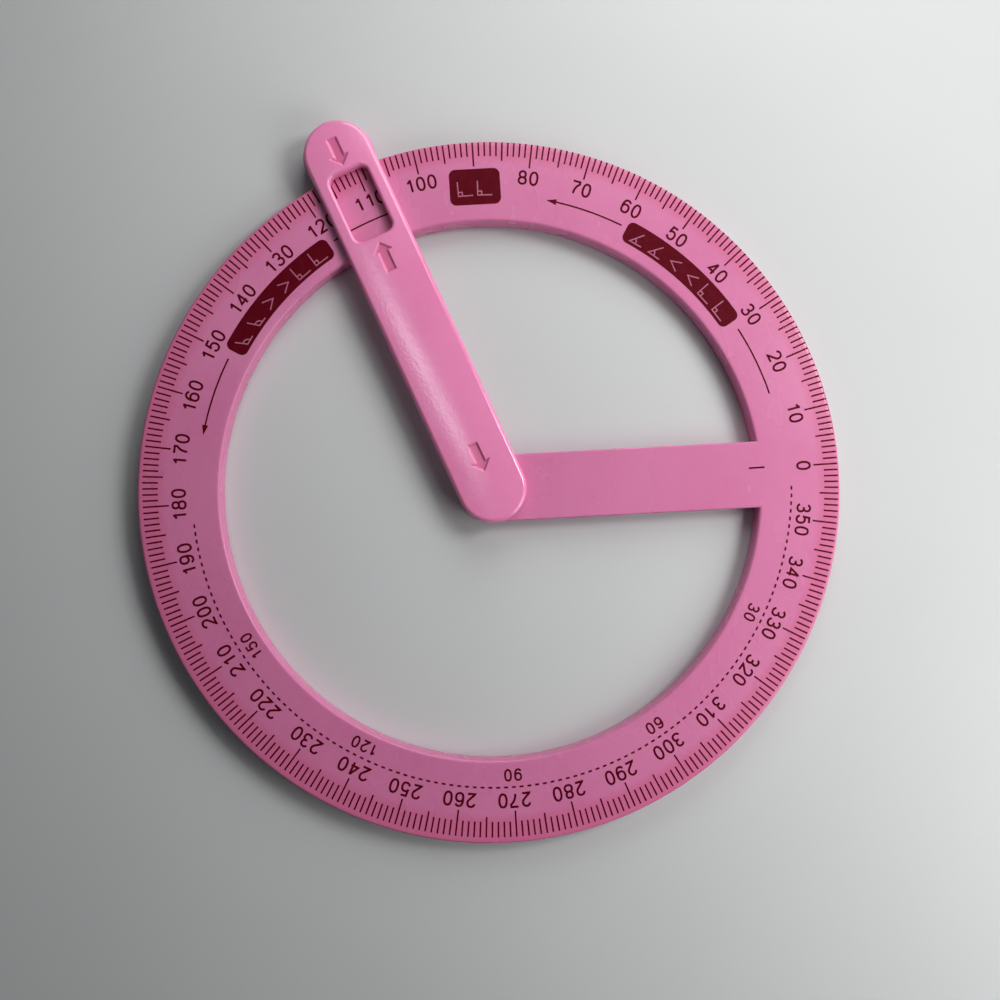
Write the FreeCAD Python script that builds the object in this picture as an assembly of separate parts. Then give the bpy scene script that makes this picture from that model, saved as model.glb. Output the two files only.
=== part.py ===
"""Angle finder with arms, in millimetres.

A flat full-circle scale ring carries a fixed arm from its rim to its centre, in one moulding. A
swing arm lies over the ring, turns about the ring's centre on a moulded boss and has a reading
window over the scale. A cap pressed into the boss from below holds the arm at the pivot, and a
keeper staked under the arm's tip hooks round the rim of the ring.

The origin is on the pivot's axis in the plane of the underside. +X runs along the fixed arm, the
scale's zero direction, and +Z points up through the printed face.
"""
import FreeCAD
import Part
import math
import os

# Scale ring and fixed arm
RING_OUTER_RADIUS = 50.0
RING_WIDTH = 11.6
RING_THICKNESS = 3.0
RING_OUTER_BEVEL = 0.35
RING_INNER_ROUND = 0.45
FIXED_ARM_WIDTH = 9.5
FIXED_ARM_BEVEL = 0.2
UNDERSIDE_BEVEL = 0.2

# Step under the rim, in which the keeper's lip runs
RIM_STEP_WIDTH = 2.4
RIM_STEP_DEPTH = 1.6

# Swing arm; its tip's round end is centred TIP_OVERHANG outside the rim
SWING_REST_ANGLE = 111.7
TIP_OVERHANG = 2.2
SWING_HUB_RADIUS = 4.9
SWING_TIP_RADIUS = 4.95
SWING_THICKNESS = 1.4
SWING_CROWN_RADIUS = 46.0
SWING_EDGE_ROUND = 0.6
SLIDE_GAP = 0.2

# Reading window, set in from the ring's inner edge, from its rim and from the arm's sides
WINDOW_INNER_INSET = 0.9
WINDOW_OUTER_INSET = 0.45
WINDOW_SIDE_INSET = 2.05
WINDOW_CORNER_RADIUS = 1.2
WINDOW_RIM_ROUND = 0.5

# Pivot: a boss under the swing arm turns in the eye of the fixed arm
BOSS_RADIUS = 2.2
BOSS_CLEARANCE = 0.05
THRUST_COLLAR_RADIUS = 3.4
EYE_RECESS_DEPTH = 1.45
CAP_HEAD_RADIUS = 3.1
CAP_HEAD_HEIGHT = 1.0
CAP_HEAD_BEVEL = 0.25
CAP_HEAD_CLEARANCE = 0.25
CAP_LIFT = 0.3
CAP_STEM_RADIUS = 1.1
CAP_STEM_LENGTH = 2.2
CAP_STEM_BEVEL = 0.25
CAP_STEM_CLEARANCE = 0.02
BOSS_BORE_SPARE_DEPTH = 0.3

# Rim keeper under the swing arm's tip, standing a little proud of it all round
KEEPER_PROUD = 0.2
KEEPER_LIFT = 0.35
KEEPER_LIP_THICKNESS = 1.0
KEEPER_LIP_REACH = 2.1
KEEPER_RIM_GAP = 0.3
KEEPER_TOP_BEVEL = 0.2
KEEPER_BOTTOM_BEVEL = 0.4

# Two staked pegs under the tip hold the keeper
PEG_RADIUS = 1.0
PEG_CLEARANCE = 0.02
PEG_SPACING = 4.4
PEG_RIM_DISTANCE = 3.6
STAKE_RADIUS = 1.45
STAKE_HEIGHT = 0.6
STAKE_CLEARANCE = 0.05

OVERRUN = 1.0

# Places and levels worked out from the sizes above
RING_INNER_RADIUS = RING_OUTER_RADIUS - RING_WIDTH
SWING_REACH = RING_OUTER_RADIUS + TIP_OVERHANG
WINDOW_START = RING_INNER_RADIUS + WINDOW_INNER_INSET
WINDOW_END = RING_OUTER_RADIUS - WINDOW_OUTER_INSET
WINDOW_HALF_WIDTH = SWING_TIP_RADIUS - WINDOW_SIDE_INSET
KEEPER_RADIUS = SWING_TIP_RADIUS + KEEPER_PROUD
SWING_UNDERSIDE = RING_THICKNESS + SLIDE_GAP
SWING_TOP = SWING_UNDERSIDE + SWING_THICKNESS
CAP_SEAT = CAP_LIFT + CAP_HEAD_HEIGHT
CAP_STEM_TOP = CAP_SEAT + CAP_STEM_LENGTH
KEEPER_LIP_TOP = KEEPER_LIFT + KEEPER_LIP_THICKNESS

UP = FreeCAD.Vector(0, 0, 1)
ALONG = FreeCAD.Vector(1, 0, 0)
ORIGIN = FreeCAD.Vector(0, 0, 0)


def rounded_outline(corners, place):
    """Closed wire through corners (a, b, radius), each rounded; place(a, b) gives the 3-D point."""
    edges = []
    starts = []
    ends = []
    for i, (a, b, radius) in enumerate(corners):
        before = corners[i - 1]
        after = corners[(i + 1) % len(corners)]
        corner = FreeCAD.Vector(a, b, 0)
        to_before = FreeCAD.Vector(before[0], before[1], 0) - corner
        to_after = FreeCAD.Vector(after[0], after[1], 0) - corner
        to_before.normalize()
        to_after.normalize()
        half_angle = to_before.getAngle(to_after) / 2
        reach = radius / math.tan(half_angle)
        start = corner + to_before * reach
        end = corner + to_after * reach
        starts.append(place(start.x, start.y))
        ends.append(place(end.x, end.y))
        if radius > 0:
            bisector = to_before + to_after
            bisector.normalize()
            middle = corner + bisector * (radius / math.sin(half_angle) - radius)
            edges.append(Part.Arc(starts[-1], place(middle.x, middle.y), ends[-1]).toShape())
    for i, end in enumerate(ends):
        edges.append(Part.makeLine(end, starts[(i + 1) % len(corners)]))
    return Part.Wire(Part.__sortEdges__(edges))


def in_section(radius, height):
    """Point of a turned section: height along Z, radius along -X, so no seam lies at the arm."""
    return FreeCAD.Vector(-radius, 0, height)


def turned(corners):
    """Solid turned about the Z axis from a rounded section of (radius, height, round) corners."""
    face = Part.Face(rounded_outline(corners, in_section))
    return face.revolve(ORIGIN, UP, 360)


def cylinder(radius, bottom, top, x=0.0, y=0.0):
    """Upright cylinder between two levels."""
    return Part.makeCylinder(radius, top - bottom, FreeCAD.Vector(x, y, bottom), UP)


def at_rest(shape):
    """The shape, drawn along +X, turned to the swing arm's rest angle."""
    turned_shape = shape.copy()
    turned_shape.rotate(ORIGIN, UP, SWING_REST_ANGLE)
    return turned_shape


def peg_places():
    """Centres (x, y) of the two pegs, side by side just outside the rim."""
    x = RING_OUTER_RADIUS + PEG_RIM_DISTANCE
    return [(x, side * PEG_SPACING / 2) for side in (-1, 1)]


def ring_band():
    """The flat ring, with its soft inner edge and the step under its rim."""
    step_radius = RING_OUTER_RADIUS - RIM_STEP_WIDTH
    return turned([
        (RING_INNER_RADIUS, UNDERSIDE_BEVEL, 0),
        (RING_INNER_RADIUS + UNDERSIDE_BEVEL, 0, 0),
        (step_radius, 0, 0),
        (step_radius, RIM_STEP_DEPTH, 0),
        (RING_OUTER_RADIUS, RIM_STEP_DEPTH, 0),
        (RING_OUTER_RADIUS, RING_THICKNESS - RING_OUTER_BEVEL, 0),
        (RING_OUTER_RADIUS - RING_OUTER_BEVEL, RING_THICKNESS, 0),
        (RING_INNER_RADIUS, RING_THICKNESS, RING_INNER_ROUND),
    ])


def fixed_arm_bar():
    """The straight bar from the pivot into the ring, with bevelled edges."""
    half = FIXED_ARM_WIDTH / 2
    section = rounded_outline(
        [
            (-half, UNDERSIDE_BEVEL, 0),
            (-half + UNDERSIDE_BEVEL, 0, 0),
            (half - UNDERSIDE_BEVEL, 0, 0),
            (half, UNDERSIDE_BEVEL, 0),
            (half, RING_THICKNESS - FIXED_ARM_BEVEL, 0),
            (half - FIXED_ARM_BEVEL, RING_THICKNESS, 0),
            (-half + FIXED_ARM_BEVEL, RING_THICKNESS, 0),
            (-half, RING_THICKNESS - FIXED_ARM_BEVEL, 0),
        ],
        lambda across, height: FreeCAD.Vector(0, across, height),
    )
    length = RING_INNER_RADIUS + RING_INNER_ROUND + OVERRUN
    return Part.Face(section).extrude(FreeCAD.Vector(length, 0, 0))


def hub_eye():
    """The round end of the fixed arm, as a full disc about the pivot."""
    half = FIXED_ARM_WIDTH / 2
    return turned([
        (0, 0, 0),
        (half - UNDERSIDE_BEVEL, 0, 0),
        (half, UNDERSIDE_BEVEL, 0),
        (half, RING_THICKNESS - FIXED_ARM_BEVEL, 0),
        (half - FIXED_ARM_BEVEL, RING_THICKNESS, 0),
        (0, RING_THICKNESS, 0),
    ])


def scale_ring():
    """Ring and fixed arm in one piece, with the pivot's bore and the cap's recess below."""
    body = ring_band().fuse([fixed_arm_bar(), hub_eye()]).removeSplitter()
    bore = cylinder(BOSS_RADIUS + BOSS_CLEARANCE, -OVERRUN, RING_THICKNESS + OVERRUN)
    recess = cylinder(CAP_HEAD_RADIUS + CAP_HEAD_CLEARANCE, -OVERRUN, EYE_RECESS_DEPTH)
    return body.cut([bore, recess])


def swing_outline():
    """Plan of the swing arm: two round ends joined by tangent sides that widen to the tip."""
    lean = (SWING_TIP_RADIUS - SWING_HUB_RADIUS) / SWING_REACH
    rise = math.sqrt(1 - lean ** 2)
    hub_side = FreeCAD.Vector(-SWING_HUB_RADIUS * lean, SWING_HUB_RADIUS * rise, 0)
    tip_side = FreeCAD.Vector(SWING_REACH - SWING_TIP_RADIUS * lean, SWING_TIP_RADIUS * rise, 0)
    hub_other = FreeCAD.Vector(hub_side.x, -hub_side.y, 0)
    tip_other = FreeCAD.Vector(tip_side.x, -tip_side.y, 0)
    hub_end = FreeCAD.Vector(-SWING_HUB_RADIUS, 0, 0)
    tip_end = FreeCAD.Vector(SWING_REACH + SWING_TIP_RADIUS, 0, 0)
    return Part.Wire([
        Part.Arc(hub_side, hub_end, hub_other).toShape(),
        Part.makeLine(hub_other, tip_other),
        Part.Arc(tip_other, tip_end, tip_side).toShape(),
        Part.makeLine(tip_side, hub_side),
    ])


def crown_limit():
    """Long cylinder along the arm whose top line is the crown of the swing arm."""
    length = SWING_REACH + SWING_HUB_RADIUS + SWING_TIP_RADIUS + 2 * OVERRUN
    start = FreeCAD.Vector(-SWING_HUB_RADIUS - OVERRUN, 0, SWING_TOP - SWING_CROWN_RADIUS)
    limit = Part.makeCylinder(SWING_CROWN_RADIUS, length, start, ALONG)
    limit.rotate(start, ALONG, 180)  # its seam goes below, away from the crown
    return limit


def window_cutter():
    """Upright prism with round corners through the arm, over the scale."""
    outline = rounded_outline(
        [
            (WINDOW_START, -WINDOW_HALF_WIDTH, WINDOW_CORNER_RADIUS),
            (WINDOW_END, -WINDOW_HALF_WIDTH, WINDOW_CORNER_RADIUS),
            (WINDOW_END, WINDOW_HALF_WIDTH, WINDOW_CORNER_RADIUS),
            (WINDOW_START, WINDOW_HALF_WIDTH, WINDOW_CORNER_RADIUS),
        ],
        lambda along, across: FreeCAD.Vector(along, across, SWING_UNDERSIDE - OVERRUN),
    )
    return Part.Face(outline).extrude(UP * (SWING_THICKNESS + 2 * OVERRUN))


def is_crown(face):
    """True for the crowned top face."""
    return isinstance(face.Surface, Part.Cylinder) and face.Surface.Radius == SWING_CROWN_RADIUS


def crown_edges(shape, outer):
    """Edges round the crowned face: its outline if outer is true, or else the window's."""
    crown = next(face for face in shape.Faces if is_crown(face))
    wires = [wire for wire in crown.Wires if wire.isSame(crown.OuterWire) == outer]
    return [edge for wire in wires for edge in wire.Edges]


def swing_bar():
    """The arm itself: crowned top, soft edges and the reading window with its soft rim."""
    plan = Part.Face(swing_outline())
    plan.translate(UP * SWING_UNDERSIDE)
    bar = plan.extrude(UP * (SWING_THICKNESS + OVERRUN)).common(crown_limit()).cut(window_cutter())
    bar = bar.makeFillet(SWING_EDGE_ROUND, crown_edges(bar, True))
    return bar.makeFillet(WINDOW_RIM_ROUND, crown_edges(bar, False))


def pivot_boss():
    """Boss that turns in the eye, with the collar that carries the arm on the eye's face."""
    boss = cylinder(BOSS_RADIUS, CAP_SEAT, SWING_UNDERSIDE + OVERRUN)
    collar = cylinder(THRUST_COLLAR_RADIUS, RING_THICKNESS, SWING_UNDERSIDE + OVERRUN)
    return boss.fuse(collar)


def staked_peg(x, y):
    """Peg through the keeper, with its end melted to a flat head in the keeper's recess."""
    seat = KEEPER_LIFT + STAKE_HEIGHT + STAKE_CLEARANCE
    peg = cylinder(PEG_RADIUS, seat, SWING_UNDERSIDE + OVERRUN, x, y)
    head = cylinder(STAKE_RADIUS, KEEPER_LIFT + STAKE_CLEARANCE, seat, x, y)
    return peg.fuse(head)


def swing_arm():
    """Swing arm with its boss, bored for the cap's stem, and the two staked pegs."""
    pegs = [staked_peg(x, y) for x, y in peg_places()]
    arm = swing_bar().fuse([pivot_boss()] + pegs).removeSplitter()
    bore_top = CAP_STEM_TOP + BOSS_BORE_SPARE_DEPTH
    bore = cylinder(CAP_STEM_RADIUS + CAP_STEM_CLEARANCE, CAP_SEAT - OVERRUN, bore_top)
    return at_rest(arm.cut(bore))


def pivot_cap():
    """Button with a round head in the eye's recess and a stem pressed into the boss."""
    cap = turned([
        (0, CAP_LIFT, 0),
        (CAP_HEAD_RADIUS - CAP_HEAD_BEVEL, CAP_LIFT, 0),
        (CAP_HEAD_RADIUS, CAP_LIFT + CAP_HEAD_BEVEL, 0),
        (CAP_HEAD_RADIUS, CAP_SEAT, 0),
        (CAP_STEM_RADIUS, CAP_SEAT, 0),
        (CAP_STEM_RADIUS, CAP_STEM_TOP - CAP_STEM_BEVEL, 0),
        (CAP_STEM_RADIUS - CAP_STEM_BEVEL, CAP_STEM_TOP, 0),
        (0, CAP_STEM_TOP, 0),
    ])
    return at_rest(cap)


def rim_keeper():
    """Round shoe under the tip: a wall outside the rim and a lip in the step under it."""
    shoe = turned([
        (0, KEEPER_LIFT, 0),
        (KEEPER_RADIUS - KEEPER_BOTTOM_BEVEL, KEEPER_LIFT, 0),
        (KEEPER_RADIUS, KEEPER_LIFT + KEEPER_BOTTOM_BEVEL, 0),
        (KEEPER_RADIUS, SWING_UNDERSIDE - KEEPER_TOP_BEVEL, 0),
        (KEEPER_RADIUS - KEEPER_TOP_BEVEL, SWING_UNDERSIDE, 0),
        (0, SWING_UNDERSIDE, 0),
    ])
    shoe.translate(FreeCAD.Vector(SWING_REACH, 0, 0))
    rim_room = cylinder(RING_OUTER_RADIUS + KEEPER_RIM_GAP, KEEPER_LIP_TOP, SWING_TOP)
    lip_end = cylinder(RING_OUTER_RADIUS - KEEPER_LIP_REACH, -OVERRUN, SWING_TOP)
    cutters = [rim_room, lip_end]
    for x, y in peg_places():
        head_room = KEEPER_LIFT + STAKE_HEIGHT + STAKE_CLEARANCE
        cutters.append(cylinder(PEG_RADIUS + PEG_CLEARANCE, -OVERRUN, SWING_TOP, x, y))
        cutters.append(cylinder(STAKE_RADIUS + STAKE_CLEARANCE, -OVERRUN, head_room, x, y))
    return at_rest(shoe.cut(cutters))


def main():
    """Build every piece and write one STEP file for each."""
    os.makedirs("parts", exist_ok=True)
    makers = [scale_ring, swing_arm, pivot_cap, rim_keeper]
    for maker in makers:
        shape = maker()
        if not shape.isValid() or len(shape.Solids) != 1:
            raise ValueError(maker.__name__ + " is not one valid solid")
        solid = shape.Solids[0]
        solid.exportStep("parts/" + maker.__name__ + ".step")
        print(maker.__name__, round(solid.Volume, 1), "mm3", solid.BoundBox)


main()
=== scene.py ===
"""Looks of an angle finder with arms: a flat full-circle scale ring with a fixed arm, its printed
scale, a swing arm with a reading window, and the cap and the keeper that hold the swing arm.

Sizes are in millimetres and angles in degrees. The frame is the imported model's: the origin on the
pivot's axis in the plane of the underside, +X along the fixed arm, +Z up through the printed face.
"""
import logging
import math
from dataclasses import dataclass, field, replace
from enum import Enum

import bmesh
import bpy
import numpy as np
from mathutils import Matrix, Vector
from numpy.typing import NDArray


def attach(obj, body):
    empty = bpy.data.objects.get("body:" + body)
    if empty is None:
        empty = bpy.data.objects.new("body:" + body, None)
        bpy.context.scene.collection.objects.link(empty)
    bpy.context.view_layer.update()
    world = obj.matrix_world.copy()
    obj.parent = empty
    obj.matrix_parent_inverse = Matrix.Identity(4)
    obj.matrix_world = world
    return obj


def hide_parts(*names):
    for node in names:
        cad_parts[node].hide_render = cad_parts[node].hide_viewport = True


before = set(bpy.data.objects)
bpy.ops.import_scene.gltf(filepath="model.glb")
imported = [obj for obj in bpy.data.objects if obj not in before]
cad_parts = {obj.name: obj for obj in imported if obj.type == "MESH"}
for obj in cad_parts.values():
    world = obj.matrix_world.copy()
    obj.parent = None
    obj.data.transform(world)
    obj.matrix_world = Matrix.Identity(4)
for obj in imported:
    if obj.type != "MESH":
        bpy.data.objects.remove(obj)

Array = NDArray[np.float64]
Pair = tuple[float, float]
Triple = tuple[float, float, float]
Colour = tuple[float, float, float, float]
Node = bpy.types.Node
Socket = bpy.types.NodeSocket
Material = bpy.types.Material
Object = bpy.types.Object

MM = 0.001
# The middle of the printed circle, which sits slightly off the pivot.
PRINT_CENTRE = (0.33, 0.44)
WELD_DISTANCE = 1e-6
CREASE_ANGLE = 32.0
BOW_STEP = 12.0
FEWEST_BOW_STEPS = 4
# Name of the mesh attribute that holds how deep each point lies in an arrow, used for painted shade.
ENGRAVED_SHADE = "engraved"

log = logging.getLogger("angle_finder")


def polar(radius: float | Array, degrees: float | Array) -> Array:
    """Points of a plan at a radius and a direction: (r cos a, r sin a).

    Args:
        radius: Distance from the origin.
        degrees: Direction, counted from +X towards +Y.

    Returns:
        Points with x and y as the last axis.
    """
    angle = np.radians(degrees)
    return np.stack([radius * np.cos(angle), radius * np.sin(angle)], axis=-1)


def lifted(plan: Array, height: float | Array) -> Array:
    """Give plan points a height.

    Args:
        plan: Points with x and y as the last axis.
        height: One height, or one for each point.

    Returns:
        Points with x, y and z as the last axis.
    """
    level = np.broadcast_to(height, plan.shape[:-1])
    return np.concatenate([plan, level[..., None]], axis=-1)


def ruled(first: Array, last: Array, shares: Array) -> Array:
    """Straight lines between matching points: first + share * (last - first).

    Args:
        first: Points of the first line.
        last: Matching points of the last line.
        shares: Shares of the way from the first line to the last.

    Returns:
        Grid with one row for each share.
    """
    return first[None] + shares[:, None, None] * (last - first)[None]


def turned(profile: Array, directions: Array) -> Array:
    """Profile carried round the Z axis: (r * direction, z) for every profile point (r, z).

    Args:
        profile: Points (radius, height).
        directions: Unit directions in plan, one for each column.

    Returns:
        Grid with one row for each profile point.
    """
    plan = profile[:, None, :1] * directions[None]
    return lifted(plan, np.broadcast_to(profile[:, 1:], plan.shape[:2]))


def facing(loop: Array, centre: Array) -> Array:
    """Unit directions from a centre to the points of a plan loop."""
    away = loop - centre
    return away / np.linalg.norm(away, axis=-1, keepdims=True)


def stations(*spans: Triple) -> Array:
    """Evenly stepped numbers over several spans in a row.

    Args:
        spans: Start, end and step of each span; a span starts where the last one ended.

    Returns:
        All numbers in rising order, each once.
    """
    runs = [np.linspace(a, b, max(2, round((b - a) / step) + 1)) for a, b, step in spans]
    return np.unique(np.round(np.concatenate(runs), 9))


def quarter_round(radius: float, steps: int) -> tuple[Array, Array]:
    """Section of a rounded edge: inset r (1 - sin a) and drop r (1 - cos a), a from 0 to 90.

    Args:
        radius: Radius of the round.
        steps: Number of steps from the flat to the wall.

    Returns:
        Insets from the wall and drops from the flat, from the flat to the wall.
    """
    angle = np.linspace(0, math.pi / 2, steps + 1)
    return radius * (1 - np.sin(angle)), radius * (1 - np.cos(angle))


def blended(value: Array) -> Array:
    """Smooth step 3 t^2 - 2 t^3 of a number held between 0 and 1."""
    held = np.clip(value, 0, 1)
    return held * held * (3 - 2 * held)


class Shell:
    """Grids of points that are welded into one mesh."""

    def __init__(self, turn: float = 0.0) -> None:
        """Start without any grid.

        Args:
            turn: Angle by which all points are turned about the pivot.
        """
        angle = math.radians(turn)
        self._turn = np.array([[math.cos(angle), math.sin(angle)], [-math.sin(angle), math.cos(angle)]])
        self._points: list[Array] = []
        self._faces: list[NDArray[np.int64]] = []
        self._count = 0

    def add(self, grid: Array, closed: bool = False, capped: bool = False) -> None:
        """Add grids as quads between neighbouring rows and columns.

        Args:
            grid: Points as (..., rows, columns, 3).
            closed: True if the last column joins the first.
            capped: True if the first and last rows, of four points, are faces too.
        """
        rows, columns = grid.shape[-3:-1]
        points = grid.reshape(-1, 3)
        index = np.arange(len(points)).reshape(-1, rows, columns) + self._count
        if closed:
            index = np.concatenate([index, index[:, :, :1]], axis=2)
        quads = [index[:, :-1, :-1], index[:, :-1, 1:], index[:, 1:, 1:], index[:, 1:, :-1]]
        self._faces.append(np.stack(quads, axis=-1).reshape(-1, 4))
        if capped:
            self._faces += [index[:, 0, :4], index[:, -1, 3::-1]]
        self._points.append(points)
        self._count += len(points)

    def piece(self, name: str, material: Material, body: str, slot: str, node: str = "") -> Object:
        """Weld the grids, dress the mesh and put it on its body.

        Args:
            name: Name of the piece.
            material: Its finish.
            body: The moving body that it rides on.
            slot: Not used.
            node: The model's node that it stands for, where it stands for one.

        Returns:
            The finished object.
        """
        points = np.concatenate(self._points)
        points[:, :2] = points[:, :2] @ self._turn
        mesh = bpy.data.meshes.new(name)
        mesh.from_pydata(points * MM, [], np.concatenate(self._faces).tolist())
        welded = bmesh.new()
        welded.from_mesh(mesh)
        bmesh.ops.remove_doubles(welded, verts=welded.verts, dist=WELD_DISTANCE)
        bmesh.ops.recalc_face_normals(welded, faces=welded.faces)
        open_edges = sum(not edge.is_manifold for edge in welded.edges)
        welded.to_mesh(mesh)
        welded.free()
        mesh.shade_smooth()
        mesh.set_sharp_from_angle(angle=math.radians(CREASE_ANGLE))
        mesh.materials.append(material)
        piece = bpy.data.objects.new(name, mesh)
        bpy.context.scene.collection.objects.link(piece)
        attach(piece, body)
        if node:
            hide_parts(node)
        log.info("%s: %d faces, %d open edges", name, len(mesh.polygons), open_edges)
        return piece


@dataclass(frozen=True)
class Pattern:
    """Noise over a piece, carried over from one range of values to another.

    Attributes:
        scale: Features per metre.
        detail: Number of finer layers.
        limits: Noise values between which the result runs.
        results: The results at the limits.
        stretch: Scale of the coordinates along each axis.
    """

    scale: float
    detail: float
    limits: Pair = (0.0, 1.0)
    results: Pair = (0.0, 1.0)
    stretch: Triple = (1.0, 1.0, 1.0)


@dataclass(frozen=True)
class Relief:
    """Fine relief of a surface.

    Attributes:
        pattern: The pattern that gives its height.
        strength: Share of the relief that shows.
        depth: Its depth in millimetres.
    """

    pattern: Pattern
    strength: float
    depth: float


class NodeTree:
    """Short ways to add and join the nodes of one material."""

    def __init__(self, name: str) -> None:
        """Make an empty material with its output.

        Args:
            name: Name of the material.
        """
        self.material = bpy.data.materials.new(name)
        self.material.use_nodes = True
        self.nodes = self.material.node_tree.nodes
        self.nodes.clear()
        self.output = self.nodes.new("ShaderNodeOutputMaterial")
        self.coordinates = self.nodes.new("ShaderNodeTexCoord").outputs["Object"]

    def add(self, kind: str, inputs: dict[str | int, object], **settings: object) -> Node:
        """Add a node, set its options and fill or join its inputs.

        Args:
            kind: Blender's name of the node type.
            inputs: Values, or sockets to join, by input name or number.
            settings: Options of the node.

        Returns:
            The new node.
        """
        node = self.nodes.new(kind)
        for name, value in settings.items():
            setattr(node, name, value)
        for name, value in inputs.items():
            if isinstance(value, Socket):
                self.material.node_tree.links.new(value, node.inputs[name])
            else:
                node.inputs[name].default_value = value
        return node

    def add_output(self, shader: Node) -> None:
        """Join a shader to the material's output."""
        self.material.node_tree.links.new(shader.outputs[0], self.output.inputs[0])

    def spread(self, value: Socket, limits: Pair, results: Pair) -> Socket:
        """Value between two limits carried over to two results.

        Args:
            value: The number to carry over.
            limits: Where the result starts and where it ends.
            results: The results at the limits, which hold beyond them.

        Returns:
            The result.
        """
        return self.add("ShaderNodeMapRange", dict(enumerate((value, *limits, *results)))).outputs[0]

    def noise(self, pattern: Pattern) -> Socket:
        """Noise of a pattern over the piece.

        Args:
            pattern: The pattern.

        Returns:
            The noise, carried over to the pattern's results.
        """
        place = self.add("ShaderNodeMapping", {"Vector": self.coordinates, "Scale": pattern.stretch})
        inputs = {"Vector": place.outputs[0], "Scale": pattern.scale, "Detail": pattern.detail}
        noise = self.add("ShaderNodeTexNoise", inputs)
        return self.spread(noise.outputs["Fac"], pattern.limits, pattern.results)

    def mixed(self, share: Socket, first: Colour | Socket, second: Colour | Socket) -> Socket:
        """Colour between two others.

        Args:
            share: Share of the second colour.
            first: The colour at share 0.
            second: The colour at share 1.

        Returns:
            The mixed colour.
        """
        return self.add("ShaderNodeMix", {0: share, 6: first, 7: second}, data_type="RGBA").outputs[2]

    def outward(self, centre: Pair, band: Pair) -> Socket:
        """Share that rises from 0 to 1 over a span of the distance from an upright axis.

        Args:
            centre: Plan place of the axis in millimetres.
            band: Start and end of the span in millimetres.

        Returns:
            The share.
        """
        back = (-centre[0] * MM, -centre[1] * MM, 0.0)
        inputs = {"Vector": self.coordinates, "Location": back, "Scale": (1, 1, 0)}
        plan = self.add("ShaderNodeMapping", inputs).outputs[0]
        radius = self.add("ShaderNodeVectorMath", {0: plan}, operation="LENGTH").outputs["Value"]
        return self.spread(radius, (band[0] * MM, band[1] * MM), (0.0, 1.0))

    def bump(self, relief: Relief, below: Socket | None = None) -> Socket:
        """Normal of a relief.

        Args:
            relief: The relief.
            below: Normal of a relief that this one lies on.

        Returns:
            The relief's normal.
        """
        height = self.noise(relief.pattern)
        inputs: dict[str | int, object] = {
            "Strength": relief.strength, "Distance": relief.depth * MM, "Height": height}
        if below is not None:
            inputs["Normal"] = below
        return self.add("ShaderNodeBump", inputs).outputs[0]


@dataclass(frozen=True)
class MouldedPlastic:
    """Glossy, slightly cloudy moulded plastic with a fine grain and light use marks.

    Attributes:
        name: Name of the material.
        colour: Main colour.
        cloud: Colour of the paler clouds in it.
        roughness: Lowest and highest roughness.
        grain: Fine grain.
        engraved: Painted shade of the engraved places, where the piece has any.
        rim_colour: Painted shade under the print's outer band, where the piece has one.
        rim_band: Radii between which that painted shade sets in, in millimetres.
        gloss: Strength of its reflections, 0.5 for plain plastic.
        glow_depth: How far light wanders under the surface, in millimetres.
        glow_weight: Share of the light that does so.
        glow_colour: How far each colour of it wanders, as shares of the depth.
        clouds: Where the paler clouds are.
        specks: Where fine pale specks are.
        rub: Where the surface is rubbed, from the lowest roughness to the highest.
        waves: Slow waves of the moulded face.
        scuffs: Hairlines.
    """

    name: str
    colour: Colour
    cloud: Colour
    roughness: Pair = (0.27, 0.37)
    grain: Relief = Relief(Pattern(2600.0, 3.0), 0.6, 0.012)
    engraved: Colour | None = None
    rim_colour: Colour | None = None
    rim_band: Pair = (46.2, 47.4)
    gloss: float = 0.5
    glow_depth: float = 0.7
    glow_weight: float = 0.12
    glow_colour: Triple = (1.0, 0.45, 0.6)
    clouds: Pattern = Pattern(70.0, 3.0, (0.35, 0.65), (0.0, 0.7))
    specks: Pattern = Pattern(900.0, 2.0, (0.4, 0.75), (0.0, 0.35))
    rub: Pattern = Pattern(160.0, 2.0, (0.3, 0.7), stretch=(1.0, 0.6, 1.0))
    waves: Relief = Relief(Pattern(120.0, 1.0), 0.5, 0.018)
    scuffs: Relief = Relief(Pattern(2400.0, 2.0, (0.68, 0.76), stretch=(0.04, 1.0, 1.0)), 0.3, 0.004)

    def build(self) -> Material:
        """Make the material.

        Returns:
            The material.
        """
        tree = NodeTree(self.name)
        pale = tree.mixed(tree.noise(self.clouds), self.colour, self.cloud)
        colour = tree.mixed(tree.noise(self.specks), pale, self.cloud)
        # Painted shade: a redder band under the ticks stands in for light that passes under the ink.
        if self.rim_colour is not None:
            colour = tree.mixed(tree.outward(PRINT_CENTRE, self.rim_band), colour, self.rim_colour)
        # Painted shade: the arrows are darkened by how deep each point lies in them.
        if self.engraved is not None:
            share = tree.add("ShaderNodeAttribute", {}, attribute_name=ENGRAVED_SHADE).outputs["Fac"]
            colour = tree.mixed(share, colour, self.engraved)
        relief = tree.bump(self.scuffs, tree.bump(self.waves, tree.bump(self.grain)))
        shader = tree.add("ShaderNodeBsdfPrincipled", {
            "Base Color": colour,
            "Roughness": tree.noise(replace(self.rub, results=self.roughness)),
            "Specular IOR Level": self.gloss,
            "Normal": relief,
            "Subsurface Weight": self.glow_weight,
            "Subsurface Scale": self.glow_depth * MM,
            "Subsurface Radius": self.glow_colour,
        })
        tree.add_output(shader)
        return tree.material


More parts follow.
